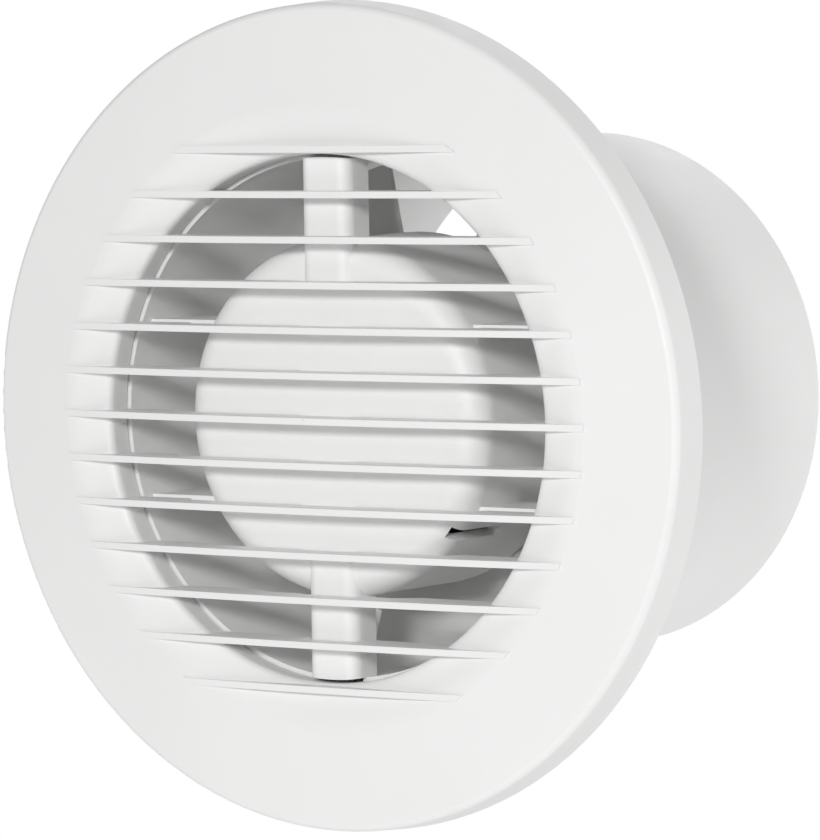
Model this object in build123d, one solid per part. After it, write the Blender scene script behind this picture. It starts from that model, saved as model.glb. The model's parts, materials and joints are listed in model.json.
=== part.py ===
from build123d import *
import math
import os

# Bathroom extractor fan for a 100 mm duct. All sizes are in millimetres.
# Origin: on the fan axis in the wall plane. -Y faces the room, +Y runs along the duct, +Z is up.

# Driving dimensions
SPIGOT_R = 49.25  # outside of the spigot, which slides into a 100 mm duct
BORE_R = 47.0  # throat, round the motor and the impeller
REAR_BORE_R = 48.1  # thinner wall behind the impeller
REAR_BORE_START_Y = 48.0
SPIGOT_END_Y = 83.8
FASCIA_R = 75.0  # rim of the front, where it meets the wall
FRONT_EDGE_R = 74.5  # rim of the front, where the dome starts
RIM_DEPTH = 7.5
DOME_RISE = 6.0
GRILLE_R = 56.6  # the slats end on this circle
SLAT_PITCH = 8.08
SLAT_COUNT = 13
POD_R = 32.5
POD_FRONT_Y = -6.0
POD_REAR_Y = 24.0
STACK_FRONT_Y = 5.5  # stator laminations
STACK_REAR_Y = 17.5
SHAFT_R = 2.0
BLADE_COUNT = 7
BLADE_TIP_R = 45.6

# Sizes of the mouldings that follow from them
SKIN = 2.0
MOTOR_MID_Y = (STACK_FRONT_Y + STACK_REAR_Y) / 2
DOME_APEX_Y = -RIM_DEPTH - DOME_RISE
DOME_SPHERE_R = (FRONT_EDGE_R**2 + DOME_RISE**2) / (2 * DOME_RISE)
RIM_BACK_Y = -0.2
FLANGE_T = 1.8
FLANGE_R = 72.2
COLLAR_FRONT_Y = -3.2
LIP_R = BORE_R + 0.6  # narrowest part of the bell mouth
LIP_START_Y = -7.4
LIP_END_Y = -3.6
LIP_T = 1.6
SLAT_T = 1.2
SLAT_PROUD = 0.3  # of the dome
SLAT_INNER_BACK_Y = -6.6  # back of the slats in front of the pod
SLAT_OUTER_BACK_Y = -3.95  # and round it
SLAT_STEP_R = 34.5
POD_WALL = 1.9
POD_INNER_R = POD_R - POD_WALL
POD_INNER_FRONT_Y = POD_FRONT_Y + SKIN
POD_SHOULDER = 4.75
STRUT_HALF_WIDTH = 5.25
STRUT_FRONT_Y = -7.0  # proud of the pod's front
STRUT_NOSE_Z = 24.6  # the struts end on the pod's front at this height
STRUT_LOW_Y = -2.85  # top of the lead channel's walls
CHANNEL_START_Z = -32.6
CHANNEL_WALL = 1.2
RIB_Z = 16.2
RIB_T = 1.7
RIB_FRONT_Y = -0.4
RIB_REAR_Y = 12.0

# Fastenings and wiring space between the throat and the rim
CLIP_ANGLES = (45, 135, 225, 315)
CLIP_PCR = 61.0
PEG_R = 2.4
SOCKET_BORE_R = 2.8
SOCKET_R = 4.3
SOCKET_FRONT_Y = -4.8
PEG_END_Y = -2.2
WALL_HOLE_X = 62.0
WALL_HOLE_R = 2.25
GROMMET_X = 30.0
GROMMET_Z = -50.0
GROMMET_HOLE_R = 5.0
CABLE_BORE_R = 3.6
BLOCK_HALF_WIDTH = 8.0
BLOCK_TOP_Z = -51.0
BLOCK_BOTTOM_Z = -62.0
BLOCK_FRONT_Y = -6.4
BLOCK_BACK_Y = -0.3
POLE_X = 4.0
CLAMP_Y = -3.1
CLAMP_HALF_WIDTH = 2.2
CLAMP_BAR_POSTS_X = (12.3, 21.7)
CLAMP_BAR_Z = -61.0
CLAMP_POST_FRONT_Y = -3.9
CLAMP_BAR_T = 1.3
CLAMP_PILOT_R = 1.0
CLAMP_SCREW_OFFSET = 2.9  # of a terminal screw from the block's middle
TERMINAL_SCREW_R = 1.0
SCREW_WELL_R = 1.7

# Motor
FRAME_HALF_WIDTH = 22.0
FRAME_HALF_HEIGHT = 25.0
FRAME_CORNER_R = 9.0
WINDOW_HALF_WIDTH = 16.0
WINDOW_HALF_HEIGHT = 19.8
STATOR_BORE_R = 10.2
ROTOR_R = 9.9
POLE_SHOE_R = 13.2
NECK_HALF_WIDTH = 4.5
HORN_ANGLE = 62.0  # from the pole's axis to the tip of its plain horn
SHADED_HORN_ANGLE = 59.0
SHADING_SLOT_ANGLE = 27.0
SHADING_WIRE = 1.2
MOTOR_SCREW_X = 19.0
SCREW_R = 1.5
SCREW_CLEARANCE_R = 1.65
BRACKET_T = 1.4
BRACKET_LEG_X = 15.0
BRACKET_FOOT_X = 22.0
BRACKET_HALF_WIDTH = 6.0
BRIDGE_OFFSET = 13.7  # from the motor's middle to the outside of each bridge
BOSS_R = 6.8
BOSS_BORE_R = 5.6
BOSS_OFFSET = 14.9
BOSS_LENGTH = 5.0
BOSS_WALL = 0.8
BEARING_R = 4.0
BEARING_LENGTH = 4.0
RUNNING_CLEARANCE = 0.03
CAP_T = 0.5
CAGE_BAR_COUNT = 12
CAGE_BAR_R = 1.0
CAGE_BAR_PCR = 8.2
CAGE_RING_T = 1.6
BOBBIN_WALL = 0.8
BOBBIN_Z0 = 13.4
BOBBIN_Z1 = 19.7
WINDING_T = 4.2
WRAP_T = 0.3
LEAD_R = 0.8
LEAD_Y = -2.5
LEAD_X = 1.6

# Impeller
BLADE_FRONT_Y = 25.2
BLADE_REAR_Y = 42.8
HUB_R = 26.0
HUB_WALL = 1.8
HUB_FRONT_Y = 25.4
HUB_REAR_Y = 44.0
HUB_BOSS_R = 5.0
HUB_BOSS_FRONT_Y = 28.0
FIRST_BLADE_ANGLE = 120.0  # middle of a blade, anticlockwise from +X as seen from the room
BLADE_ROOT_SPAN = 19.5  # tangential length of a blade at BLADE_ROOT_R, and at BLADE_OUTER_R
BLADE_OUTER_SPAN = 34.0
BLADE_ROOT_R = 24.9
BLADE_OUTER_R = 46.0
SHAFT_FRONT_Y = -3.3
SHAFT_REAR_Y = 46.5


def y_cylinder(radius, y0, y1, x=0.0, z=0.0):
    """Cylinder along the fan axis, from y0 to y1."""
    return Pos(x, (y0 + y1) / 2, z) * Rot(90, 0, 0) * Cylinder(radius, abs(y1 - y0))


def y_ring(outer, inner, y0, y1, x=0.0, z=0.0):
    """Tube along the fan axis."""
    return y_cylinder(outer, y0, y1, x, z) - y_cylinder(inner, y0 - 1, y1 + 1, x, z)


def block(x0, x1, y0, y1, z0, z1):
    """Box given by its limits."""
    size = Box(abs(x1 - x0), abs(y1 - y0), abs(z1 - z0))
    return Pos((x0 + x1) / 2, (y0 + y1) / 2, (z0 + z1) / 2) * size


def turned(outline):
    """Solid of revolution about the fan axis of an outline drawn as (radius, y)."""
    seam_turn = 100  # keeps the surfaces' seam clear of the level slats and the upright struts
    return Rot(0, seam_turn, 0) * revolve(make_face(outline), Axis.Y)


def on_circle(radius, degrees):
    """x and z of a point on a circle about the fan axis."""
    angle = math.radians(degrees)
    return radius * math.cos(angle), radius * math.sin(angle)


def mirrored_y(shape):
    """The same shape, mirrored about the middle of the motor."""
    return mirror(shape, about=Plane.XZ.offset(-MOTOR_MID_Y))


def dome_y(radius, inset=0.0):
    """Depth of the dome's front surface, or of a surface that lies inset behind it."""
    return DOME_APEX_Y + DOME_SPHERE_R - math.sqrt((DOME_SPHERE_R - inset) ** 2 - radius**2)


def dome_arc(radius_a, radius_b, inset=0.0):
    """Part of the dome's outline, between two radii."""
    middle = (radius_a + radius_b) / 2
    points = [(r, dome_y(r, inset)) for r in (radius_a, middle, radius_b)]
    return ThreePointArc(*points)


def bell_curve(outer_r, outer_y, inner_r):
    """Bell mouth's outline, near a quarter of an oval, from the dome's slope in to the lip."""
    across = outer_r - inner_r
    deep = outer_y - LIP_START_Y
    diagonal = math.sqrt(0.5)
    middle = (outer_r - across * diagonal, LIP_START_Y + deep * diagonal)
    ends = [(outer_r, outer_y), middle, (inner_r, LIP_START_Y)]
    dome_slope = outer_r / math.sqrt(DOME_SPHERE_R**2 - outer_r**2)
    return Spline(*ends, tangents=[(-1, -dome_slope), (0, 1)])


def fascia_shell():
    """Rim, dome and bell mouth."""
    edge_round = 1.2
    inner_rim_r = FASCIA_R - SKIN
    lip_back_r = LIP_R + LIP_T
    lip_draft = 0.1
    round_start = (FRONT_EDGE_R, -RIM_DEPTH + edge_round)
    round_end = (FRONT_EDGE_R - edge_round, dome_y(FRONT_EDGE_R - edge_round))
    round_middle = (
        FRONT_EDGE_R - edge_round * (1 - math.sqrt(0.5)),
        -RIM_DEPTH + edge_round * (1 - math.sqrt(0.5)),
    )
    inner_corner_r = FRONT_EDGE_R - SKIN
    outline = Line((FASCIA_R, RIM_BACK_Y), round_start)
    outline += ThreePointArc(round_start, round_middle, round_end)
    outline += dome_arc(FRONT_EDGE_R - edge_round, GRILLE_R)
    outline += bell_curve(GRILLE_R, dome_y(GRILLE_R), LIP_R)
    outline += Polyline(
        (LIP_R, LIP_START_Y),
        (LIP_R + lip_draft, LIP_END_Y),
        (lip_back_r, LIP_END_Y),
        (lip_back_r, LIP_START_Y),
    )
    outline += bell_curve(GRILLE_R, dome_y(GRILLE_R, SKIN), lip_back_r)
    outline += dome_arc(GRILLE_R, inner_corner_r, SKIN)
    outline += Polyline(
        (inner_corner_r, dome_y(inner_corner_r, SKIN)),
        (inner_rim_r, RIM_BACK_Y),
        (FASCIA_R, RIM_BACK_Y),
    )
    return turned(outline)


def grille_slats():
    """Flat slats, a little proud of the dome, that run into the bell mouth's wall at their ends."""
    wall_middle = 0.5 * SKIN
    lip_middle_r = LIP_R + 0.5 * LIP_T
    end_r = GRILLE_R + 0.4
    strut_gap = 0.7
    outline = Line((0, SLAT_INNER_BACK_Y), (0, dome_y(0, -SLAT_PROUD)))
    outline += dome_arc(0, end_r, -SLAT_PROUD)
    outline += Line((end_r, dome_y(end_r, -SLAT_PROUD)), (end_r, dome_y(end_r, wall_middle)))
    outline += dome_arc(end_r, GRILLE_R, wall_middle)
    outline += bell_curve(GRILLE_R, dome_y(GRILLE_R, wall_middle), lip_middle_r)
    outline += Polyline(
        (lip_middle_r, LIP_START_Y),
        (lip_middle_r, SLAT_OUTER_BACK_Y),
        (SLAT_STEP_R + 2.0, SLAT_OUTER_BACK_Y),
        (SLAT_STEP_R, SLAT_INNER_BACK_Y),
        (0, SLAT_INNER_BACK_Y),
    )
    notch_half = STRUT_HALF_WIDTH + strut_gap
    notch = block(-notch_half, notch_half, STRUT_FRONT_Y - strut_gap, 0, -BORE_R, BORE_R)
    envelope = turned(outline) - notch
    top_z = SLAT_PITCH * (SLAT_COUNT - 1) / 2
    slab = Box(2 * end_r, 3 * RIM_DEPTH, SLAT_T)
    levels = [top_z - i * SLAT_PITCH for i in range(SLAT_COUNT)]
    return [envelope & (Pos(0, DOME_APEX_Y + RIM_DEPTH, level) * slab) for level in levels]


def front_grille():
    """The whole front: shell, slats and the four split pegs that hold it on."""
    front = fascia_shell().fuse(*grille_slats())
    for degrees in CLIP_ANGLES:
        x, z = on_circle(CLIP_PCR, degrees)
        peg = y_cylinder(PEG_R, dome_y(CLIP_PCR, 0.5 * SKIN), PEG_END_Y, x, z)
        slit = Pos(x, PEG_END_Y, z) * Rot(0, -degrees, 0) * Box(2.5 * PEG_R, 4.0, 0.8)
        front += peg - slit
    return front


def housing_shell():
    """Wall flange with its low rim, the throat's collar and the spigot."""
    rim_wall = 1.6
    rim_front_y = -5.0
    end_bevel = 0.6
    outline = Polyline(
        (BORE_R, COLLAR_FRONT_Y),
        (BORE_R, REAR_BORE_START_Y),
        (REAR_BORE_R, REAR_BORE_START_Y),
        (REAR_BORE_R, SPIGOT_END_Y),
        (SPIGOT_R - end_bevel, SPIGOT_END_Y),
        (SPIGOT_R, SPIGOT_END_Y - end_bevel),
        (SPIGOT_R, 0),
        (FLANGE_R, 0),
        (FLANGE_R, rim_front_y),
        (FLANGE_R - rim_wall, rim_front_y),
        (FLANGE_R - rim_wall, -FLANGE_T),
        (SPIGOT_R, -FLANGE_T),
        (SPIGOT_R, COLLAR_FRONT_Y),
        (BORE_R, COLLAR_FRONT_Y),
    )
    return turned(outline)


def motor_pod():
    """Round cup round the motor, open towards the impeller, with a slit in its side."""
    slit_angle = -39.0
    slit_width = 2.4
    slit_front_y = -4.4
    slit_rear_y = 10.0
    inner_round = 3.0
    outer = y_cylinder(POD_R, POD_FRONT_Y, POD_REAR_Y)
    outer = fillet(outer.edges().sort_by(Axis.Y)[0], POD_SHOULDER)
    inner = y_cylinder(POD_INNER_R, POD_INNER_FRONT_Y, POD_REAR_Y + 1)
    inner = fillet(inner.edges().sort_by(Axis.Y)[0], inner_round)
    x, z = on_circle(POD_R, slit_angle)
    slit_place = Pos(x, (slit_front_y + slit_rear_y) / 2, z) * Rot(0, -slit_angle, 0)
    slit = slit_place * Box(3 * POD_WALL, slit_rear_y - slit_front_y, slit_width)
    return outer - inner - slit


def motor_posts():
    """Two posts in the pod that the motor's long screws run into."""
    post_r = 3.2
    pilot_end_y = -2.8
    front_foot_y = STACK_FRONT_Y - BRACKET_T
    posts = []
    for x in (-MOTOR_SCREW_X, MOTOR_SCREW_X):
        post = y_cylinder(post_r, POD_INNER_FRONT_Y - 0.5, front_foot_y, x)
        posts.append(post - y_cylinder(SCREW_R, pilot_end_y, front_foot_y + 1, x))
    return posts


def rounded_bar(z0, z1, y_front, y_rear):
    """Upright bar with rounded front edges."""
    bar = block(-STRUT_HALF_WIDTH, STRUT_HALF_WIDTH, y_front, y_rear, z0, z1)
    front_edges = bar.edges().filter_by(Axis.Z).group_by(Axis.Y)[0]
    return fillet(front_edges, 2.4)


def strut_bar(end_z):
    """Upright bar from its nose on the pod's front up to end_z, clear of the space in the pod."""
    root_z = POD_INNER_R - 2.0
    bar = rounded_bar(STRUT_NOSE_Z, end_z, STRUT_FRONT_Y, 0)
    return bar - block(-POD_R, POD_R, POD_INNER_FRONT_Y, 1, 0, root_z)


def struts():
    """Upper strut, and the stub and open channel of the lower one."""
    wall_r = BORE_R + 1.0
    upper = strut_bar(wall_r)
    stub = Rot(0, 180, 0) * strut_bar(-CHANNEL_START_Z)
    channel = block(-STRUT_HALF_WIDTH, STRUT_HALF_WIDTH, STRUT_LOW_Y, 0, -wall_r, CHANNEL_START_Z)
    trough = STRUT_HALF_WIDTH - CHANNEL_WALL
    channel -= block(-trough, trough, STRUT_LOW_Y - 1, -CHANNEL_WALL, -wall_r, CHANNEL_START_Z)
    return upper, stub + channel


def ribs():
    """Four thin flat ribs from the pod to the throat."""
    outer_x = BORE_R
    inner_x = math.sqrt(POD_R**2 - RIB_Z**2) - 0.5 * POD_WALL
    half = RIB_T / 2
    return [
        block(side * inner_x, side * outer_x, RIB_FRONT_Y, RIB_REAR_Y, level - half, level + half)
        for side in (-1, 1)
        for level in (-RIB_Z, RIB_Z)
    ]


def flange_sockets():
    """Sockets for the front's pegs and posts for the cable clamp bar."""
    parts = []
    for degrees in CLIP_ANGLES:
        x, z = on_circle(CLIP_PCR, degrees)
        socket = y_cylinder(SOCKET_R, SOCKET_FRONT_Y, -1, x, z)
        parts.append(socket - y_cylinder(SOCKET_BORE_R, SOCKET_FRONT_Y - 1, -FLANGE_T, x, z))
    for x in CLAMP_BAR_POSTS_X:
        parts.append(y_cylinder(2.2, CLAMP_POST_FRONT_Y, -1, x, CLAMP_BAR_Z))
    return parts


def motor_carrier():
    """Motor pod with its posts, struts and ribs, which end on the throat's wall."""
    tunnel_half = 3.0
    tunnel_front_y = LEAD_Y - 1.1
    tunnel_z0 = CHANNEL_START_Z - 1
    tunnel_z1 = -POD_INNER_R + 4.5
    carrier = motor_pod()
    for part in (*motor_posts(), *struts(), *ribs()):
        carrier += part
    carrier -= block(
        -tunnel_half, tunnel_half, tunnel_front_y, -CHANNEL_WALL, tunnel_z0, tunnel_z1
    )
    return carrier & y_cylinder(BORE_R, POD_FRONT_Y - 1, POD_REAR_Y + 1)


def fan_housing():
    """Flange with its sockets, throat and spigot."""
    notch_half = 4.4
    window_gap = 0.3
    housing = housing_shell()
    for part in flange_sockets():
        housing += part
    housing -= block(
        -notch_half, notch_half, COLLAR_FRONT_Y - 1, -CHANNEL_WALL, -SPIGOT_R - 1, -BORE_R + 0.6
    )
    side = BLOCK_HALF_WIDTH + window_gap
    top = BLOCK_TOP_Z + window_gap
    bottom = BLOCK_BOTTOM_Z - window_gap
    housing -= block(-side, side, -FLANGE_T - 1, 1, bottom, top)
    housing -= y_cylinder(GROMMET_HOLE_R, -FLANGE_T - 1, 1, GROMMET_X, GROMMET_Z)
    for x in CLAMP_BAR_POSTS_X:
        housing -= y_cylinder(CLAMP_PILOT_R, CLAMP_POST_FRONT_Y - 1, -0.8, x, CLAMP_BAR_Z)
    for x in (-WALL_HOLE_X, WALL_HOLE_X):
        housing -= y_cylinder(WALL_HOLE_R, -FLANGE_T - 1, 1, x)
    return housing


def lead_channel_cover():
    """Clip-in cover of the lower strut's lead channel."""
    gap = 0.1
    z0 = -BORE_R
    z1 = CHANNEL_START_Z - gap
    trough = STRUT_HALF_WIDTH - CHANNEL_WALL
    cover = rounded_bar(z0, z1, STRUT_FRONT_Y, STRUT_LOW_Y - 0.05)
    cover -= block(-trough, trough, STRUT_FRONT_Y + CHANNEL_WALL, 0, z0 - 1, z1 + 1)
    for side in (-1, 1):
        tongue_outer = side * (trough - gap)
        tongue_inner = side * (trough - 0.8)
        tongue = block(tongue_inner, tongue_outer, STRUT_FRONT_Y + 1, -1.4, z0 + 4, z1 - 4)
        bridge = block(
            tongue_inner, side * (trough + 0.2), STRUT_FRONT_Y + 1, STRUT_LOW_Y - 0.4, z0 + 4, z1 - 4
        )
        cover += tongue + bridge
    return cover & y_cylinder(BORE_R, STRUT_FRONT_Y - 1, 0)


def stator_outline():
    """Stator frame in the plane of its laminations, with its window and two poles."""
    frame = RectangleRounded(2 * FRAME_HALF_WIDTH, 2 * FRAME_HALF_HEIGHT, FRAME_CORNER_R)
    frame -= RectangleRounded(2 * WINDOW_HALF_WIDTH, 2 * WINDOW_HALF_HEIGHT, 3.0)
    shoe_ring = Circle(POLE_SHOE_R) - Circle(STATOR_BORE_R)
    for turn in (0, 180):
        sector = Polyline(
            (0, 0),
            on_circle(2 * POLE_SHOE_R, 90 - HORN_ANGLE),
            (0, 3 * POLE_SHOE_R),
            on_circle(2 * POLE_SHOE_R, 90 + SHADED_HORN_ANGLE),
            (0, 0),
        )
        shoe = shoe_ring & make_face(sector)
        neck_top = WINDOW_HALF_HEIGHT + 0.5
        neck = Pos(0, (STATOR_BORE_R + 1 + neck_top) / 2) * Rectangle(
            2 * NECK_HALF_WIDTH, neck_top - STATOR_BORE_R - 1
        )
        pole = shoe + (neck - Circle(STATOR_BORE_R))
        frame += Rot(0, 0, turn) * pole
    return frame


def shading_place(turn):
    """Local frame of a shading ring: X along the horn, Z outwards, for one of the two poles."""
    middle = 90 + (SHADED_HORN_ANGLE + SHADING_SLOT_ANGLE) / 2 + turn
    return Rot(0, -(middle - 90), 0)


def shading_half_span():
    """Half of the distance between the two long legs of a shading ring."""
    half_angle = math.radians((SHADED_HORN_ANGLE - SHADING_SLOT_ANGLE) / 2)
    return (POLE_SHOE_R - 0.9) * math.tan(half_angle) + 0.45


def stator_laminations():
    """Stator stack, with a slot in each pole shoe for its shading ring."""
    plane = Plane(origin=(0, STACK_REAR_Y, 0), x_dir=(1, 0, 0), z_dir=(0, -1, 0))
    stack = extrude(plane * stator_outline(), STACK_REAR_Y - STACK_FRONT_Y)
    span = shading_half_span()
    slot_gap = 0.1
    for turn in (0, 180):
        for side in (-1, 1):
            slot = block(
                side * span - SHADING_WIRE / 2 - slot_gap,
                side * span + SHADING_WIRE / 2 + slot_gap,
                STACK_FRONT_Y - 1,
                STACK_REAR_Y + 1,
                POLE_SHOE_R - 2.1,
                POLE_SHOE_R + 2,
            )
            stack -= shading_place(turn) * slot
    for x in (-MOTOR_SCREW_X, MOTOR_SCREW_X):
        stack -= y_cylinder(SCREW_CLEARANCE_R, STACK_FRONT_Y - 1, STACK_REAR_Y + 1, x)
    return stack


def shading_rings():
    """One closed copper ring round the horn of each pole."""
    span = shading_half_span()
    low = POLE_SHOE_R - 2.0
    high = low + SHADING_WIRE
    reach = 0.05 + SHADING_WIRE
    outer = block(
        -span - SHADING_WIRE / 2,
        span + SHADING_WIRE / 2,
        STACK_FRONT_Y - reach,
        STACK_REAR_Y + reach,
        low,
        high,
    )
    hole = block(
        -span + SHADING_WIRE / 2,
        span - SHADING_WIRE / 2,
        STACK_FRONT_Y - 0.05,
        STACK_REAR_Y + 0.05,
        low - 1,
        high + 1,
    )
    return Compound([shading_place(turn) * (outer - hole) for turn in (0, 180)])


def spool_box(grow, z0, z1):
    """Rounded block that surrounds a pole's neck with the given margin, between two heights."""
    width = 2 * (NECK_HALF_WIDTH + grow)
    length = STACK_REAR_Y - STACK_FRONT_Y + 2 * grow
    outline = RectangleRounded(width, length, max(0.4, 0.6 * grow))
    return Pos(0, MOTOR_MID_Y, z0) * extrude(outline, z1 - z0)


def bobbin(turn):
    """Plastic spool on one pole's neck."""
    fit = 0.1
    flange = BOBBIN_WALL + WINDING_T + WRAP_T + 0.4
    spool = spool_box(BOBBIN_WALL + fit, BOBBIN_Z0, BOBBIN_Z1)
    spool += spool_box(flange, BOBBIN_Z0, BOBBIN_Z0 + BOBBIN_WALL)
    spool += spool_box(flange, BOBBIN_Z1 - BOBBIN_WALL, BOBBIN_Z1)
    hole = block(
        -NECK_HALF_WIDTH - fit,
        NECK_HALF_WIDTH + fit,
        STACK_FRONT_Y - fit,
        STACK_REAR_Y + fit,
        BOBBIN_Z0 - 1,
        BOBBIN_Z1 + 1,
    )
    return Rot(0, turn, 0) * (spool - hole)


def winding(turn):
    """Copper winding on one bobbin."""
    z0 = BOBBIN_Z0 + BOBBIN_WALL
    z1 = BOBBIN_Z1 - BOBBIN_WALL
    inner = BOBBIN_WALL + 0.1
    coil = spool_box(inner + WINDING_T, z0, z1) - spool_box(inner, z0 - 1, z1 + 1)
    return Rot(0, turn, 0) * coil


def winding_wraps():
    """Insulating tape round each winding."""
    z0 = BOBBIN_Z0 + BOBBIN_WALL
    z1 = BOBBIN_Z1 - BOBBIN_WALL
    inner = BOBBIN_WALL + 0.1 + WINDING_T
    wrap = spool_box(inner + WRAP_T, z0, z1) - spool_box(inner, z0 - 1, z1 + 1)
    return Compound([Rot(0, turn, 0) * wrap for turn in (0, 180)])


def winding_face_y():
    """Front of the wrapped windings."""
    return STACK_FRONT_Y - BOBBIN_WALL - 0.1 - WINDING_T - WRAP_T


def thermal_fuse():
    """Thermal cut-out that lies on the front of the upper winding."""
    radius = 1.3
    y = winding_face_y() - radius
    z = 0.5 * (BOBBIN_Z0 + BOBBIN_Z1)
    body = Pos(0, y, z) * Rot(0, 90, 0) * Cylinder(radius, 8.0)
    wires = Pos(0, y, z) * Rot(0, 90, 0) * Cylinder(0.4, 13.0)
    return body + wires


def front_bracket():
    """Bent steel bridge across the front of the motor, with the bearing's housing."""
    foot_y = STACK_FRONT_Y
    bridge_y = MOTOR_MID_Y - BRIDGE_OFFSET
    t = BRACKET_T
    half = BRACKET_HALF_WIDTH
    boss_y = MOTOR_MID_Y - BOSS_OFFSET
    bracket = block(-BRACKET_LEG_X, BRACKET_LEG_X, bridge_y, bridge_y + t, -half, half)
    for side in (-1, 1):
        leg = block(side * (BRACKET_LEG_X - t), side * BRACKET_LEG_X, bridge_y, foot_y, -half, half)
        foot = block(
            side * (BRACKET_LEG_X - t), side * BRACKET_FOOT_X, foot_y - t, foot_y, -half, half
        )
        hole = y_cylinder(SCREW_CLEARANCE_R, foot_y - t - 1, foot_y + 1, side * MOTOR_SCREW_X)
        bracket += leg + foot - hole
    bracket += y_cylinder(BOSS_R, boss_y, boss_y + BOSS_LENGTH)
    bracket -= y_cylinder(BOSS_BORE_R, boss_y + BOSS_WALL, boss_y + BOSS_LENGTH + 1)
    bracket -= y_cylinder(SHAFT_R + 0.6, boss_y - 1, boss_y + BOSS_LENGTH)
    return bracket


def front_bearing():
    """Sintered bronze bush."""
    start = MOTOR_MID_Y - BOSS_OFFSET + BOSS_WALL
    return y_ring(BEARING_R, SHAFT_R + RUNNING_CLEARANCE, start, start + BEARING_LENGTH)


def oil_felts():
    """Oil-soaked felt ring round each bearing."""
    start = MOTOR_MID_Y - BOSS_OFFSET + BOSS_WALL
    felt = y_ring(BOSS_BORE_R, BEARING_R, start, start + BEARING_LENGTH - CAP_T)
    return Compound([felt, mirrored_y(felt)])


def bearing_caps():
    """Pressed rings that keep the felts and bearings in."""
    end = MOTOR_MID_Y - BOSS_OFFSET + BOSS_WALL + BEARING_LENGTH
    cap = y_ring(BOSS_BORE_R, BEARING_R, end - CAP_T, end)
    return Compound([cap, mirrored_y(cap)])


def motor_screws():
    """Long screws that clamp the motor to the pod's posts."""
    head_y = STACK_REAR_Y + BRACKET_T
    head_h = 2.0
    tip_y = -2.6
    screws = []
    for x in (-MOTOR_SCREW_X, MOTOR_SCREW_X):
        head = y_cylinder(2.75, head_y, head_y + head_h, x)
        head = fillet(head.edges().sort_by(Axis.Y)[-1], 0.8)
        slot = block(x - 3, x + 3, head_y + head_h - 0.9, head_y + head_h + 1, -0.35, 0.35)
        screws.append(head + y_cylinder(SCREW_R, tip_y, head_y, x) - slot)
    return Compound(screws)


def rotor_cage():
    """Cast aluminium end rings and bars."""
    inner_r = 6.4
    ring = y_ring(ROTOR_R - 0.3, inner_r, STACK_FRONT_Y - CAGE_RING_T, STACK_FRONT_Y)
    cage = ring + mirrored_y(ring)
    for i in range(CAGE_BAR_COUNT):
        x, z = on_circle(CAGE_BAR_PCR, i * 360 / CAGE_BAR_COUNT)
        cage += y_cylinder(CAGE_BAR_R, STACK_FRONT_Y - 0.5, STACK_REAR_Y + 0.5, x, z)
    return cage


def rotor_laminations():
    """Rotor stack on the shaft, with holes for the cage's bars."""
    stack = y_ring(ROTOR_R, SHAFT_R, STACK_FRONT_Y, STACK_REAR_Y)
    for i in range(CAGE_BAR_COUNT):
        x, z = on_circle(CAGE_BAR_PCR, i * 360 / CAGE_BAR_COUNT)
        stack -= y_cylinder(CAGE_BAR_R, STACK_FRONT_Y - 1, STACK_REAR_Y + 1, x, z)
    return stack


def rotor_shaft():
    """Steel shaft with chamfered ends."""
    shaft = y_cylinder(SHAFT_R, SHAFT_FRONT_Y, SHAFT_REAR_Y)
    return chamfer(shaft.edges().filter_by(GeomType.CIRCLE), 0.4)


def thrust_washers():
    """Fibre washer on the shaft at each end of the rotor."""
    bearing_end = MOTOR_MID_Y - BOSS_OFFSET + BOSS_WALL + BEARING_LENGTH
    washer = y_ring(3.4, SHAFT_R, bearing_end + 0.25, bearing_end + 0.75)
    return Compound([washer, mirrored_y(washer)])


def blade_section(radius, span):
    """Cambered section of a blade, across the radius that runs through its middle."""
    camber = 2.2
    thickness = 1.9
    edge = 0.8
    front = Vector(-span / 2, BLADE_FRONT_Y)
    rear = Vector(span / 2, BLADE_REAR_Y)
    along = (rear - front).normalized()
    across = Vector(along.Y, -along.X)
    middle = (front + rear) * 0.5 + across * camber
    half_edge = across * (edge / 2)
    half_thickness = across * (thickness / 2)
    outline = ThreePointArc(front + half_edge, middle + half_thickness, rear + half_edge)
    outline += Line(rear + half_edge, rear - half_edge)
    outline += ThreePointArc(rear - half_edge, middle - half_thickness, front - half_edge)
    outline += Line(front - half_edge, front + half_edge)
    # Local X runs along -X of the fan here, so that the blade trails anticlockwise.
    plane = Plane(origin=(0, 0, radius), x_dir=(-1, 0, 0), z_dir=(0, 0, -1))
    return plane * make_face(outline)


def impeller():
    """Hub and blades in one moulding."""
    hub = y_cylinder(HUB_R, HUB_FRONT_Y, HUB_REAR_Y)
    hub = fillet(hub.edges().sort_by(Axis.Y)[-1], 3.0)
    hub -= y_cylinder(HUB_R - HUB_WALL, HUB_FRONT_Y - 1, HUB_REAR_Y - HUB_WALL)
    hub += y_cylinder(HUB_BOSS_R, HUB_BOSS_FRONT_Y, HUB_REAR_Y - 0.5)
    for i in range(4):
        web = block(HUB_BOSS_R - 1, HUB_R - 1, HUB_REAR_Y - 9, HUB_REAR_Y - 1, -0.7, 0.7)
        hub += Rot(0, i * 90 + 45, 0) * web
    root = blade_section(BLADE_ROOT_R, BLADE_ROOT_SPAN)
    outer = blade_section(BLADE_OUTER_R, BLADE_OUTER_SPAN)
    blade = loft([root, outer])
    blade &= y_ring(BLADE_TIP_R, HUB_R - HUB_WALL / 2, BLADE_FRONT_Y - 5, BLADE_REAR_Y + 5)
    wheel = hub
    for i in range(BLADE_COUNT):
        turn = FIRST_BLADE_ANGLE + i * 360 / BLADE_COUNT
        wheel += Rot(0, -(turn - 90), 0) * blade
    return wheel - y_cylinder(SHAFT_R, HUB_BOSS_FRONT_Y - 1, HUB_REAR_Y + 1)


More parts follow.
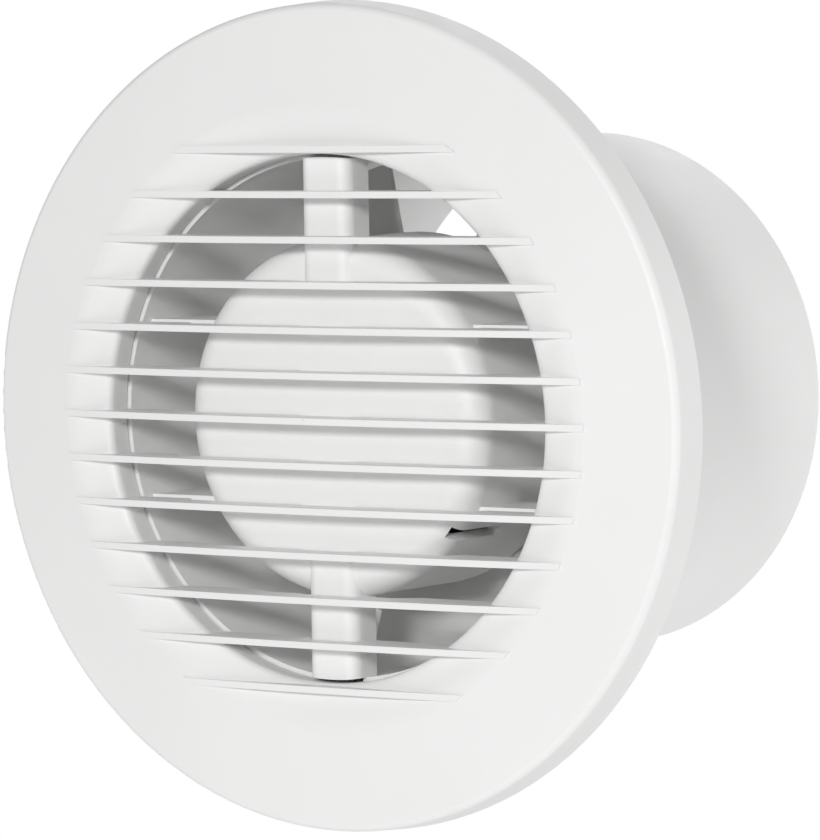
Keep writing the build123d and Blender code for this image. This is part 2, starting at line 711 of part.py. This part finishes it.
def impeller_retainer():
    """Push-on star washer that keeps the impeller on the shaft."""
    washer = y_ring(5.6, SHAFT_R, HUB_REAR_Y, HUB_REAR_Y + 0.6)
    for i in range(6):
        x, z = on_circle(3.2, i * 60)
        cut = Pos(x, HUB_REAR_Y, z) * Rot(0, -i * 60, 0) * Box(2.6, 3, 0.5)
        washer -= cut
    return washer


def lead(points, radii):
    """Insulated lead along straight runs joined by arcs."""
    path = FilletPolyline(*points, radius=radii)
    start = Plane(origin=path @ 0, z_dir=path % 0)
    return sweep(start * Circle(LEAD_R), path=path)


def motor_lead(side):
    """Lead from the terminal block, along the channel, to the lower winding."""
    points = [
        (side * POLE_X, CLAMP_Y, BLOCK_TOP_Z - 3.0),
        (side * POLE_X, CLAMP_Y + 0.4, BLOCK_TOP_Z + 0.6),
        (side * LEAD_X, LEAD_Y, -43.5),
        (side * LEAD_X, LEAD_Y, -28.5),
        (side * 6.5, winding_face_y() - LEAD_R - 0.6, -18.5),
        (side * 6.5, winding_face_y() - LEAD_R, -15.0),
    ]
    return lead(points, [3.0, 6.0, 5.0, 3.0])


def coil_link_lead():
    """Lead that joins the two windings, past the bracket's foot."""
    side_x = NECK_HALF_WIDTH + BOBBIN_WALL + 0.1 + WINDING_T + WRAP_T
    y = STACK_FRONT_Y - 2.8
    z = 0.5 * (BOBBIN_Z0 + BOBBIN_Z1)
    outer_x = -23.6
    bend = 6.5
    lower = [(-side_x, y, -z), (outer_x + bend, y, -z), (outer_x, y, -z + bend)]
    upper = [(x, y, -level) for x, y, level in reversed(lower)]
    return lead(lower + upper, 7.0)


def terminal_block():
    """Two-pole terminal block that clips into a window of the flange."""
    z0 = BLOCK_BOTTOM_Z
    z1 = BLOCK_TOP_Z
    body = block(-BLOCK_HALF_WIDTH, BLOCK_HALF_WIDTH, BLOCK_FRONT_Y, BLOCK_BACK_Y, z0, z1)
    ear = 1.6
    ear_t = 1.2
    ear_half_height = 3.0
    middle_z = 0.5 * (z0 + z1)
    outside = BLOCK_HALF_WIDTH + ear
    ear_z0 = middle_z - ear_half_height
    ear_z1 = middle_z + ear_half_height
    body += block(-outside, outside, -FLANGE_T - ear_t, -FLANGE_T, ear_z0, ear_z1)
    groove_half = 0.5
    groove_floor_y = -4.8
    body -= block(-groove_half, groove_half, BLOCK_FRONT_Y - 1, groove_floor_y, z0 - 1, z1 + 1)
    for x in (-POLE_X, POLE_X):
        body -= clamp_space(x, z0 - 1, z1 + 1)
        for z in clamp_screw_places():
            body -= y_cylinder(SCREW_WELL_R, BLOCK_FRONT_Y - 1, CLAMP_Y, x, z)
    return body


def clamp_screw_places():
    """Heights of the two screws of each pole."""
    middle_z = 0.5 * (BLOCK_TOP_Z + BLOCK_BOTTOM_Z)
    return middle_z - CLAMP_SCREW_OFFSET, middle_z + CLAMP_SCREW_OFFSET


def clamp_space(x, z0, z1):
    """Space of one pole's brass tube, between two heights."""
    half = CLAMP_HALF_WIDTH
    half_depth = 1.6
    return block(x - half, x + half, CLAMP_Y - half_depth, CLAMP_Y + half_depth, z0, z1)


def terminal_clamps():
    """Brass tube of each pole."""
    inset = 1.2
    wire_r = 1.1
    z0 = BLOCK_BOTTOM_Z + inset
    z1 = BLOCK_TOP_Z - inset
    clamps = []
    for x in (-POLE_X, POLE_X):
        tube = clamp_space(x, z0, z1)
        tube -= Pos(x, CLAMP_Y, (z0 + z1) / 2) * Cylinder(wire_r, z1 - z0)
        for z in clamp_screw_places():
            tube -= y_cylinder(TERMINAL_SCREW_R, CLAMP_Y - 3, CLAMP_Y, x, z)
        clamps.append(tube)
    return Compound(clamps)


def slotted_screw(head_r, head_y0, head_y1, shank_r, shank_y1, x, z):
    """Small screw along Y with a slotted flat head, whose front is at head_y0."""
    slot_depth = 0.5
    slot_half_width = 0.25
    screw = y_cylinder(head_r, head_y0, head_y1, x, z)
    screw += y_cylinder(shank_r, head_y1, shank_y1, x, z)
    reach = head_r + 0.5
    slot_z0 = z - slot_half_width
    slot_z1 = z + slot_half_width
    return screw - block(x - reach, x + reach, head_y0 - 1, head_y0 + slot_depth, slot_z0, slot_z1)


def terminal_screws():
    """Slotted screws of the terminal block."""
    head_r = SCREW_WELL_R - 0.1
    head_front_y = BLOCK_FRONT_Y + 0.4
    seat_y = CLAMP_Y - 1.6
    tip_y = CLAMP_Y - 1.0
    return Compound(
        [
            slotted_screw(head_r, head_front_y, seat_y, TERMINAL_SCREW_R, tip_y, x, z)
            for x in (-POLE_X, POLE_X)
            for z in clamp_screw_places()
        ]
    )


def cable_clamp_bar():
    """Bar that holds the supply cable down on the flange."""
    x0, x1 = CLAMP_BAR_POSTS_X
    overhang = 2.2
    half_height = 2.0
    hole_r = 1.15
    front_y = CLAMP_POST_FRONT_Y - CLAMP_BAR_T
    z0 = CLAMP_BAR_Z - half_height
    z1 = CLAMP_BAR_Z + half_height
    bar = block(x0 - overhang, x1 + overhang, front_y, CLAMP_POST_FRONT_Y, z0, z1)
    bar = fillet(bar.edges().filter_by(Axis.Y), 1.8)
    for x in CLAMP_BAR_POSTS_X:
        bar -= y_cylinder(hole_r, front_y - 1, CLAMP_POST_FRONT_Y + 1, x, CLAMP_BAR_Z)
    return bar


def cable_clamp_screws():
    """Two small screws of the clamp bar."""
    head_r = 1.9
    head_h = 0.9
    tip_y = -1.0
    seat = CLAMP_POST_FRONT_Y - CLAMP_BAR_T
    return Compound(
        [
            slotted_screw(head_r, seat - head_h, seat, CLAMP_PILOT_R, tip_y, x, CLAMP_BAR_Z)
            for x in CLAMP_BAR_POSTS_X
        ]
    )


def cable_grommet():
    """Rubber sleeve in the cable entry of the flange."""
    lip = y_cylinder(GROMMET_HOLE_R + 1.4, -FLANGE_T - 1.4, -FLANGE_T, GROMMET_X, GROMMET_Z)
    lip = fillet(lip.edges().sort_by(Axis.Y)[0], 0.6)
    neck = y_cylinder(GROMMET_HOLE_R, -FLANGE_T, -0.1, GROMMET_X, GROMMET_Z)
    return lip + neck - y_cylinder(CABLE_BORE_R, -5, 1, GROMMET_X, GROMMET_Z)


def all_parts():
    """Every piece of the fan by the name of its node."""
    return {
        "front_grille": front_grille(),
        "fan_housing": fan_housing(),
        "motor_carrier": motor_carrier(),
        "lead_channel_cover": lead_channel_cover(),
        "impeller": impeller(),
        "impeller_retainer": impeller_retainer(),
        "rotor_shaft": rotor_shaft(),
        "rotor_laminations": rotor_laminations(),
        "rotor_cage": rotor_cage(),
        "thrust_washers": thrust_washers(),
        "front_bearing": front_bearing(),
        "rear_bearing": mirrored_y(front_bearing()),
        "oil_felts": oil_felts(),
        "bearing_caps": bearing_caps(),
        "front_bracket": front_bracket(),
        "rear_bracket": mirrored_y(front_bracket()),
        "stator_laminations": stator_laminations(),
        "shading_rings": shading_rings(),
        "upper_bobbin": bobbin(0),
        "lower_bobbin": bobbin(180),
        "upper_winding": winding(0),
        "lower_winding": winding(180),
        "winding_wraps": winding_wraps(),
        "thermal_fuse": thermal_fuse(),
        "motor_screws": motor_screws(),
        "live_lead": motor_lead(1),
        "neutral_lead": motor_lead(-1),
        "coil_link_lead": coil_link_lead(),
        "terminal_block": terminal_block(),
        "terminal_clamps": terminal_clamps(),
        "terminal_screws": terminal_screws(),
        "cable_clamp_bar": cable_clamp_bar(),
        "cable_clamp_screws": cable_clamp_screws(),
        "cable_grommet": cable_grommet(),
    }


os.makedirs("parts", exist_ok=True)
for node, shape in all_parts().items():
    export_step(shape, f"parts/{node}.step")
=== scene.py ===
import json
import math

import bpy
from mathutils import Matrix, Vector


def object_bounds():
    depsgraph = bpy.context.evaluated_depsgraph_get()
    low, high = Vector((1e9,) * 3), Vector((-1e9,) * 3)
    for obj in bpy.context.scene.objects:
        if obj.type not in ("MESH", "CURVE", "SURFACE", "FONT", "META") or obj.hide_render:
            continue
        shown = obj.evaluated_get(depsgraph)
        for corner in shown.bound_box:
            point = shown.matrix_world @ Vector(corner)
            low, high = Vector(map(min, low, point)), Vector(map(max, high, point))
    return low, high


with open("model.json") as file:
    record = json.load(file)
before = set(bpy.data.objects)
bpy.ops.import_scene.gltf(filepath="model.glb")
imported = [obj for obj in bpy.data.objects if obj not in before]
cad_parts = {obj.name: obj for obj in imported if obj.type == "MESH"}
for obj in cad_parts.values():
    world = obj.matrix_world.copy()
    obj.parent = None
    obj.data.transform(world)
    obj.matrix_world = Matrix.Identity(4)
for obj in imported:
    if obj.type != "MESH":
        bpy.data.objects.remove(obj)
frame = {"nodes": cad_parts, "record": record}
cad_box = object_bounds()

# Metres. The fan's axis is Y, its wall plane is y = 0, and -Y faces the room.
MM = 0.001


class Finish:
    """A principled material whose colour, roughness and relief come from noise at real scale."""

    def __init__(self, slot, color, roughness, metallic=0.0, ior=1.5, **constants):
        self.slot = slot
        self.material = bpy.data.materials.new(slot)
        self.material.use_nodes = True
        self.tree = self.material.node_tree
        self.shader = self.tree.nodes["Principled BSDF"]
        self.place = self.tree.nodes.new("ShaderNodeTexCoord").outputs["Object"]
        self.relief_end = None
        self.set("Base Color", (*color, 1.0))
        self.set("Roughness", roughness)
        self.set("Metallic", metallic)
        self.set("IOR", ior)
        for socket, value in constants.items():
            self.set(socket.replace("_", " ").title(), value)

    def set(self, socket, value):
        """Sets one of the shader's own sockets."""
        self.shader.inputs[socket].default_value = value

    def link(self, output, node, socket):
        """Joins an output to a node's input."""
        self.tree.links.new(output, node.inputs[socket])

    def stretched(self, stretch):
        """Object coordinates, stretched along each axis by the given factors."""
        mapping = self.tree.nodes.new("ShaderNodeMapping")
        mapping.inputs["Scale"].default_value = [1 / factor for factor in stretch]
        self.link(self.place, mapping, "Vector")
        return mapping.outputs["Vector"]

    def noise(self, size, detail=2.0, stretch=(1, 1, 1)):
        """Soft random field with patches of about the given size."""
        node = self.tree.nodes.new("ShaderNodeTexNoise")
        node.inputs["Scale"].default_value = 1 / size
        node.inputs["Detail"].default_value = detail
        self.link(self.stretched(stretch), node, "Vector")
        return node.outputs["Fac"]

    def cells(self, size, stretch=(1, 1, 1)):
        """Distance to the nearest of scattered points, for pores and flecks."""
        node = self.tree.nodes.new("ShaderNodeTexVoronoi")
        node.inputs["Scale"].default_value = 1 / size
        self.link(self.stretched(stretch), node, "Vector")
        return node.outputs["Distance"]

    def bands(self, axis, pitch, wobble=0.0):
        """Even stripes across an axis, for laminations, wire turns and tool marks."""
        node = self.tree.nodes.new("ShaderNodeTexWave")
        node.bands_direction = axis
        node.inputs["Scale"].default_value = math.pi / (10 * pitch)
        node.inputs["Distortion"].default_value = wobble
        self.link(self.place, node, "Vector")
        return node.outputs["Fac"]

    def spread(self, field, low, high, start=0.3, end=0.7):
        """Field remapped so that start gives low and end gives high."""
        node = self.tree.nodes.new("ShaderNodeMapRange")
        node.inputs["From Min"].default_value = start
        node.inputs["From Max"].default_value = end
        node.inputs["To Min"].default_value = low
        node.inputs["To Max"].default_value = high
        self.link(field, node, "Value")
        return node.outputs["Result"]

    def color_between(self, field, first, second, start=0.3, end=0.7):
        """Base colour that runs from first to second with the field."""
        node = self.tree.nodes.new("ShaderNodeMix")
        node.data_type = "RGBA"
        node.inputs["A"].default_value = (*first, 1.0)
        node.inputs["B"].default_value = (*second, 1.0)
        self.link(self.spread(field, 0.0, 1.0, start, end), node, "Factor")
        self.link(node.outputs["Result"], self.shader, "Base Color")

    def roughness_between(self, field, low, high):
        """Roughness that varies with the field."""
        self.link(self.spread(field, low, high), self.shader, "Roughness")

    def relief(self, field, depth):
        """Adds a relief of the given depth to the surface, on top of any relief before it."""
        node = self.tree.nodes.new("ShaderNodeBump")
        node.inputs["Distance"].default_value = depth
        self.link(field, node, "Height")
        if self.relief_end is not None:
            self.link(self.relief_end, node, "Normal")
        self.relief_end = node.outputs["Normal"]
        self.link(self.relief_end, self.shader, "Normal")


def tint(color, factor):
    """The colour made lighter or darker."""
    return tuple(min(1.0, channel * factor) for channel in color)


def moulded_abs(slot, color, roughness):
    """White ABS from a spark-eroded mould: fine grain, faint flow marks, uneven gloss."""
    finish = Finish(slot, color, roughness, ior=1.53)
    finish.color_between(finish.noise(35 * MM), tint(color, 0.985), tint(color, 1.01))
    finish.roughness_between(finish.noise(7 * MM, detail=4), roughness - 0.05, roughness + 0.06)
    finish.relief(finish.noise(14 * MM), 0.02 * MM)
    finish.relief(finish.noise(0.5 * MM, detail=3), 0.004 * MM)
    return finish


def impeller_white():
    """Impeller's ABS: duller, with faint flow marks."""
    color = (0.74, 0.74, 0.735)
    finish = Finish("impeller_white", color, 0.45, ior=1.53)
    finish.color_between(finish.noise(18 * MM, detail=3), tint(color, 0.97), tint(color, 1.01))
    finish.roughness_between(finish.noise(4 * MM, detail=4), 0.38, 0.52)
    finish.relief(finish.noise(9 * MM, detail=3), 0.02 * MM)
    finish.relief(finish.noise(0.4 * MM, detail=3), 0.005 * MM)
    return finish


def spring_steel():
    """Blued spring steel with rolling marks."""
    finish = Finish("spring_steel", (0.28, 0.29, 0.31), 0.35, metallic=1.0)
    finish.color_between(finish.noise(1.5 * MM, detail=3), (0.22, 0.23, 0.26), (0.36, 0.36, 0.37))
    finish.roughness_between(finish.noise(0.6 * MM, detail=3), 0.28, 0.42)
    finish.relief(finish.noise(0.12 * MM, stretch=(12, 1, 1)), 0.002 * MM)
    return finish


def bright_steel():
    """Ground shaft steel with fine marks round it."""
    finish = Finish("bright_steel", (0.62, 0.62, 0.63), 0.2, metallic=1.0)
    finish.color_between(finish.noise(2 * MM, detail=3), (0.56, 0.56, 0.57), (0.66, 0.66, 0.67))
    finish.roughness_between(finish.noise(0.5 * MM, stretch=(1, 0.2, 1)), 0.15, 0.28)
    finish.relief(finish.noise(0.05 * MM, stretch=(30, 1, 30)), 0.001 * MM)
    return finish


def silicon_steel():
    """Edges of half-millimetre laminations, with darker insulation between them."""
    finish = Finish("silicon_steel", (0.3, 0.3, 0.32), 0.5, metallic=0.85)
    sheets = finish.bands("Y", 0.5 * MM)
    finish.color_between(sheets, (0.10, 0.10, 0.11), (0.38, 0.38, 0.40), start=0.05, end=0.35)
    finish.roughness_between(finish.noise(1.2 * MM, detail=4), 0.40, 0.60)
    finish.relief(sheets, 0.04 * MM)
    finish.relief(finish.noise(0.2 * MM, detail=3), 0.006 * MM)
    return finish


def cast_aluminium():
    """Die-cast aluminium, dull and slightly pitted."""
    finish = Finish("cast_aluminium", (0.7, 0.7, 0.71), 0.42, metallic=1.0)
    finish.color_between(finish.noise(1.5 * MM, detail=4), (0.58, 0.58, 0.59), (0.76, 0.76, 0.77))
    finish.roughness_between(finish.noise(0.8 * MM, detail=3), 0.35, 0.55)
    finish.relief(finish.cells(0.35 * MM), 0.01 * MM)
    return finish


def red_fibre():
    """Vulcanised fibre washers, with streaks in the sheet."""
    finish = Finish("red_fibre", (0.36, 0.10, 0.06), 0.6)
    fibres = finish.noise(0.15 * MM, detail=4, stretch=(8, 1, 1))
    finish.color_between(fibres, (0.27, 0.07, 0.04), (0.42, 0.13, 0.08))
    finish.relief(fibres, 0.01 * MM)
    return finish


def sintered_bronze():
    """Porous bronze, darker where the oil stands in its pores."""
    finish = Finish("sintered_bronze", (0.55, 0.38, 0.2), 0.4, metallic=1.0)
    pores = finish.cells(0.12 * MM)
    finish.color_between(pores, (0.22, 0.14, 0.07), (0.60, 0.42, 0.22), start=0.1, end=0.4)
    finish.roughness_between(finish.noise(0.4 * MM), 0.30, 0.50)
    finish.relief(pores, 0.01 * MM)
    return finish


def oiled_felt():
    """Wool felt soaked in oil."""
    finish = Finish("oiled_felt", (0.45, 0.38, 0.28), 0.85, sheen_weight=0.3)
    fibres = finish.noise(0.25 * MM, detail=6, stretch=(3, 1, 1))
    finish.color_between(fibres, (0.30, 0.24, 0.16), (0.52, 0.45, 0.34))
    finish.relief(fibres, 0.08 * MM)
    return finish


def zinc_steel():
    """Zinc-plated steel: slightly cloudy, with a faint warm and cool tint."""
    finish = Finish("zinc_steel", (0.66, 0.67, 0.68), 0.32, metallic=1.0)
    finish.color_between(finish.noise(2.5 * MM, detail=3), (0.60, 0.62, 0.66), (0.70, 0.69, 0.66))
    finish.roughness_between(finish.noise(0.8 * MM, detail=4), 0.26, 0.42)
    finish.relief(finish.noise(0.15 * MM, detail=2), 0.002 * MM)
    return finish


def bare_copper():
    """Drawn copper wire, dulled in patches."""
    finish = Finish("bare_copper", (0.72, 0.38, 0.24), 0.3, metallic=1.0)
    finish.color_between(finish.noise(1.5 * MM, detail=3), (0.50, 0.24, 0.15), (0.80, 0.44, 0.29))
    finish.roughness_between(finish.noise(0.5 * MM, detail=3), 0.22, 0.42)
    finish.relief(finish.noise(0.08 * MM, stretch=(1, 10, 1)), 0.002 * MM)
    return finish


def bobbin_nylon():
    """Natural nylon with short glass fibres in its skin."""
    finish = Finish("bobbin_nylon", (0.75, 0.73, 0.66), 0.5, ior=1.53, subsurface_weight=0.15)
    fibres = finish.noise(0.12 * MM, detail=3, stretch=(1, 6, 1))
    finish.set("Subsurface Scale", 1.5 * MM)
    finish.color_between(fibres, (0.70, 0.68, 0.60), (0.78, 0.76, 0.70))
    finish.roughness_between(finish.noise(1 * MM, detail=3), 0.42, 0.58)
    finish.relief(fibres, 0.006 * MM)
    return finish


def enamelled_copper():
    """Turns of enamelled wire, laid side by side, with painted shade darkening the grooves between
    them.
    """
    finish = Finish("enamelled_copper", (0.55, 0.22, 0.1), 0.28, metallic=0.9, coat_weight=0.6)
    turns = finish.bands("Z", 0.3 * MM, wobble=0.3)
    # painted shade: the colour runs dark where the turns' relief is low, in the grooves between turns
    finish.color_between(turns, (0.16, 0.05, 0.02), (0.62, 0.27, 0.12), start=0.05, end=0.5)
    finish.roughness_between(finish.noise(1.2 * MM, detail=2), 0.22, 0.38)
    finish.relief(turns, 0.12 * MM)
    return finish


def yellow_tape():
    """Polyester tape with a soft sheen and the turns beneath just telling."""
    finish = Finish("yellow_tape", (0.8, 0.62, 0.12), 0.3, coat_weight=0.3)
    finish.color_between(finish.noise(3 * MM, detail=2), (0.74, 0.55, 0.09), (0.84, 0.67, 0.16))
    finish.roughness_between(finish.noise(2 * MM, detail=3), 0.22, 0.38)
    finish.relief(finish.bands("Z", 0.9 * MM, wobble=1.0), 0.02 * MM)
    return finish


def fuse_case():
    """Tinned and lacquered case of the thermal cut-out."""
    finish = Finish("fuse_case", (0.62, 0.6, 0.55), 0.35, metallic=0.7, coat_weight=0.4)
    finish.color_between(finish.noise(1.2 * MM, detail=3), (0.52, 0.50, 0.45), (0.68, 0.66, 0.61))
    finish.relief(finish.noise(0.2 * MM, detail=3), 0.004 * MM)
    return finish


def wire_pvc(slot, color):
    """Soft PVC insulation with a slight orange peel."""
    finish = Finish(slot, color, 0.4)
    finish.color_between(finish.noise(3 * MM, detail=2), tint(color, 0.88), tint(color, 1.08))
    finish.roughness_between(finish.noise(1 * MM, detail=3), 0.33, 0.50)
    finish.relief(finish.noise(0.5 * MM, detail=2), 0.015 * MM)
    return finish


def terminal_grey():
    """Milky polyamide of the terminal block."""
    color = (0.66, 0.66, 0.65)
    finish = Finish("terminal_grey", color, 0.48, subsurface_weight=0.2)
    finish.set("Subsurface Scale", 1.5 * MM)
    finish.color_between(finish.noise(4 * MM, detail=3), tint(color, 0.95), tint(color, 1.03))
    finish.roughness_between(finish.noise(1.5 * MM, detail=3), 0.40, 0.56)
    finish.relief(finish.noise(0.25 * MM, detail=3), 0.006 * MM)
    return finish


def plain_brass():
    """Drawn brass with fine marks along it."""
    finish = Finish("plain_brass", (0.72, 0.58, 0.3), 0.28, metallic=1.0)
    finish.color_between(finish.noise(1.5 * MM, detail=3), (0.62, 0.48, 0.24), (0.76, 0.62, 0.34))
    finish.roughness_between(finish.noise(0.6 * MM, detail=3), 0.20, 0.38)
    finish.relief(finish.noise(0.08 * MM, stretch=(1, 1, 12)), 0.002 * MM)
    return finish


def black_rubber():
    """Moulded rubber with a dusty bloom."""
    finish = Finish("black_rubber", (0.03, 0.03, 0.03), 0.7)
    finish.color_between(finish.noise(2 * MM, detail=4), (0.022, 0.022, 0.022), (0.05, 0.05, 0.05))
    finish.roughness_between(finish.noise(1 * MM, detail=3), 0.60, 0.82)
    finish.relief(finish.noise(0.3 * MM, detail=4), 0.02 * MM)
    return finish


def all_materials():
    """Every material by the name of its slot in the record."""
    made = [
        moulded_abs("fascia_white", (0.81, 0.81, 0.805), 0.5),
        moulded_abs("housing_white", (0.88, 0.88, 0.875), 0.5),
        impeller_white(),
        spring_steel(),
        bright_steel(),
        silicon_steel(),
        cast_aluminium(),
        red_fibre(),
        sintered_bronze(),
        oiled_felt(),
        zinc_steel(),
        bare_copper(),
        bobbin_nylon(),
        enamelled_copper(),
        yellow_tape(),
        fuse_case(),
        wire_pvc("brown_pvc", (0.20, 0.09, 0.04)),
        wire_pvc("blue_pvc", (0.05, 0.14, 0.45)),
        wire_pvc("white_pvc", (0.75, 0.75, 0.73)),
        terminal_grey(),
        plain_brass(),
        black_rubber(),
    ]
    return {finish.slot: finish.material for finish in made}


def dress_cad_nodes(materials):
    """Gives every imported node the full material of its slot."""
    for part in frame["record"]["subparts"]:
        node = frame["nodes"][part["node"]]
        node.material_slots[0].material = materials[part["material_slot"]]


def camera():
    """Long lens from the right, a little above the fan's axis."""
    yaw = math.radians(34.71)
    pitch = math.radians(3.94)
    roll = math.radians(0.99)
    distance = 1.0064
    aim = Vector((0, 0.0194, -0.0019))
    turn = Matrix.Rotation(yaw, 4, "Z") @ Matrix.Rotation(math.pi / 2 - pitch, 4, "X")
    turn = turn @ Matrix.Rotation(-roll, 4, "Z")
    data = bpy.data.cameras.new("camera")
    data.sensor_width = 36.0
    data.lens = 235.2
    made = bpy.data.objects.new("camera", data)
    back = turn @ Vector((0, 0, distance))
    made.matrix_world = Matrix.Translation(aim + back) @ turn
    bpy.context.scene.collection.objects.link(made)
    bpy.context.scene.camera = made


def softbox(name, azimuth, elevation, distance, size, watts):
    """Large square light that faces the fan. Azimuth 0 is straight in front and 90 on the right."""
    turn = Matrix.Rotation(math.radians(azimuth), 4, "Z")
    turn = turn @ Matrix.Rotation(math.radians(90 - elevation), 4, "X")
    data = bpy.data.lights.new(name, "AREA")
    data.size = size
    data.energy = watts
    made = bpy.data.objects.new(name, data)
    away = turn @ Vector((0, 0, distance))
    made.matrix_world = Matrix.Translation((cad_box[0] + cad_box[1]) / 2 + away) @ turn
    bpy.context.scene.collection.objects.link(made)


def studio():
    """Soft even surroundings, seen as white, a small key light in front and two large fill lights."""
    world = bpy.data.worlds.new("studio")
    world.use_nodes = True
    tree = world.node_tree
    ambient = tree.nodes["Background"]
    ambient.inputs["Color"].default_value = (1, 1, 1, 1)
    ambient.inputs["Strength"].default_value = 0.40
    backdrop = tree.nodes.new("ShaderNodeBackground")
    backdrop.inputs["Color"].default_value = (1, 1, 1, 1)
    backdrop.inputs["Strength"].default_value = 1.0
    seen = tree.nodes.new("ShaderNodeLightPath").outputs["Is Camera Ray"]
    either = tree.nodes.new("ShaderNodeMixShader")
    tree.links.new(seen, either.inputs["Fac"])
    tree.links.new(ambient.outputs["Background"], either.inputs[1])
    tree.links.new(backdrop.outputs["Background"], either.inputs[2])
    tree.links.new(either.outputs["Shader"], tree.nodes["World Output"].inputs["Surface"])
    bpy.context.scene.world = world
    bpy.context.scene.view_settings.view_transform = "Standard"
    softbox("key_light", azimuth=22, elevation=14, distance=1.6, size=0.2, watts=12.5)
    softbox("side_light", azimuth=110, elevation=15, distance=1.6, size=1.0, watts=5.5)
    softbox("rear_light", azimuth=200, elevation=25, distance=1.6, size=1.0, watts=5.0)


def floor():
    """Wide pale floor with slight unevenness."""
    half = 0.8
    drop = 0.2
    level = cad_box[0].z - drop
    mesh = bpy.data.meshes.new("floor")
    corners = [(-half, -half, level), (half, -half, level), (half, half, level), (-half, half, level)]
    mesh.from_pydata(corners, [], [(0, 1, 2, 3)])
    made = bpy.data.objects.new("floor", mesh)
    finish = Finish("floor", (0.93, 0.93, 0.93), 0.8, emission_strength=0.2)
    finish.set("Emission Color", (1, 1, 1, 1))
    finish.color_between(finish.noise(0.5), (0.92, 0.92, 0.92), (0.94, 0.94, 0.94))
    mesh.materials.append(finish.material)
    bpy.context.scene.collection.objects.link(made)


materials = all_materials()
dress_cad_nodes(materials)
camera()
studio()
floor()
